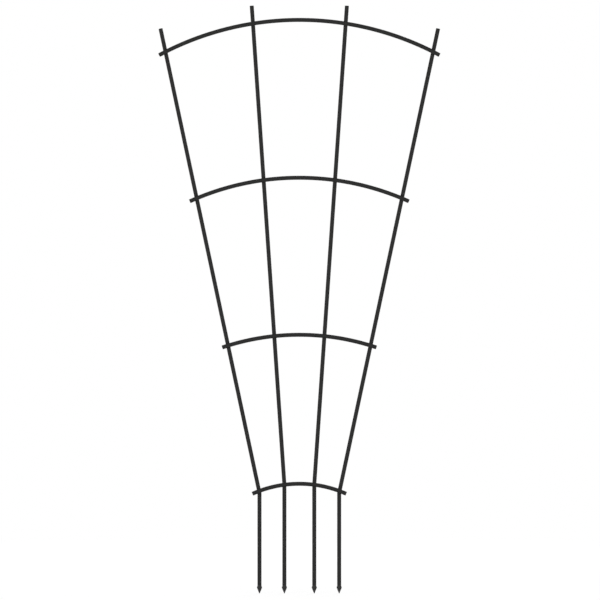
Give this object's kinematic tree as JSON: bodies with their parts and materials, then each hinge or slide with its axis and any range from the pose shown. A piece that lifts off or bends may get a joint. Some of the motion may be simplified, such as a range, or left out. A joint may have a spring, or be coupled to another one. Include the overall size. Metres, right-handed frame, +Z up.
{
  "type": "fan trellis",
  "caption": "Steel fan trellis: bent uprights splay from pointed legs that push into the soil, and arched crossbars are welded across their fronts.",
  "frame": {"origin": "on the fan's centre line, on the plane of the uprights' axes, at the soil line: the legs reach 250 mm below it", "axes": "+Z up along the fan's centre line, +X to the right as seen from the front, +Y to the back; the crossbars lie on the front, -Y"},
  "size_m": [0.8772, 0.027, 1.829],
  "materials": {
    "powder_coat": "satin charcoal powder coat with fine orange peel",
    "tip_coat": "satin charcoal coating on a turned steel point",
    "plug_plastic": "moulded black plastic"
  },
  "bodies": {
    "root": {"upright_outer_left": "powder_coat", "upright_inner_left": "powder_coat", "upright_inner_right": "powder_coat", "upright_outer_right": "powder_coat", "crossbar_top": "powder_coat", "crossbar_upper": "powder_coat", "crossbar_lower": "powder_coat", "crossbar_bottom": "powder_coat", "ground_tip_outer_left": "tip_coat", "ground_tip_inner_left": "tip_coat", "ground_tip_inner_right": "tip_coat", "ground_tip_outer_right": "tip_coat", "top_plug_outer_left": "plug_plastic", "top_plug_inner_left": "plug_plastic", "top_plug_inner_right": "plug_plastic", "top_plug_outer_right": "plug_plastic", "bar_plug_top_left": "plug_plastic", "bar_plug_top_right": "plug_plastic", "bar_plug_upper_left": "plug_plastic", "bar_plug_upper_right": "plug_plastic", "bar_plug_lower_left": "plug_plastic", "bar_plug_lower_right": "plug_plastic", "bar_plug_bottom_left": "plug_plastic", "bar_plug_bottom_right": "plug_plastic", "weld_top_outer_left_inboard": "powder_coat", "weld_top_outer_left_outboard": "powder_coat", "weld_top_inner_left_inboard": "powder_coat", "weld_top_inner_left_outboard": "powder_coat", "weld_top_inner_right_inboard": "powder_coat", "weld_top_inner_right_outboard": "powder_coat", "weld_top_outer_right_inboard": "powder_coat", "weld_top_outer_right_outboard": "powder_coat", "weld_upper_outer_left_inboard": "powder_coat", "weld_upper_outer_left_outboard": "powder_coat", "weld_upper_inner_left_inboard": "powder_coat", "weld_upper_inner_left_outboard": "powder_coat", "weld_upper_inner_right_inboard": "powder_coat", "weld_upper_inner_right_outboard": "powder_coat", "weld_upper_outer_right_inboard": "powder_coat", "weld_upper_outer_right_outboard": "powder_coat", "weld_lower_outer_left_inboard": "powder_coat", "weld_lower_outer_left_outboard": "powder_coat", "weld_lower_inner_left_inboard": "powder_coat", "weld_lower_inner_left_outboard": "powder_coat", "weld_lower_inner_right_inboard": "powder_coat", "weld_lower_inner_right_outboard": "powder_coat", "weld_lower_outer_right_inboard": "powder_coat", "weld_lower_outer_right_outboard": "powder_coat", "weld_bottom_outer_left_inboard": "powder_coat", "weld_bottom_outer_left_outboard": "powder_coat", "weld_bottom_inner_left_inboard": "powder_coat", "weld_bottom_inner_left_outboard": "powder_coat", "weld_bottom_inner_right_inboard": "powder_coat", "weld_bottom_inner_right_outboard": "powder_coat", "weld_bottom_outer_right_inboard": "powder_coat", "weld_bottom_outer_right_outboard": "powder_coat"}
  },
  "joints": []
}
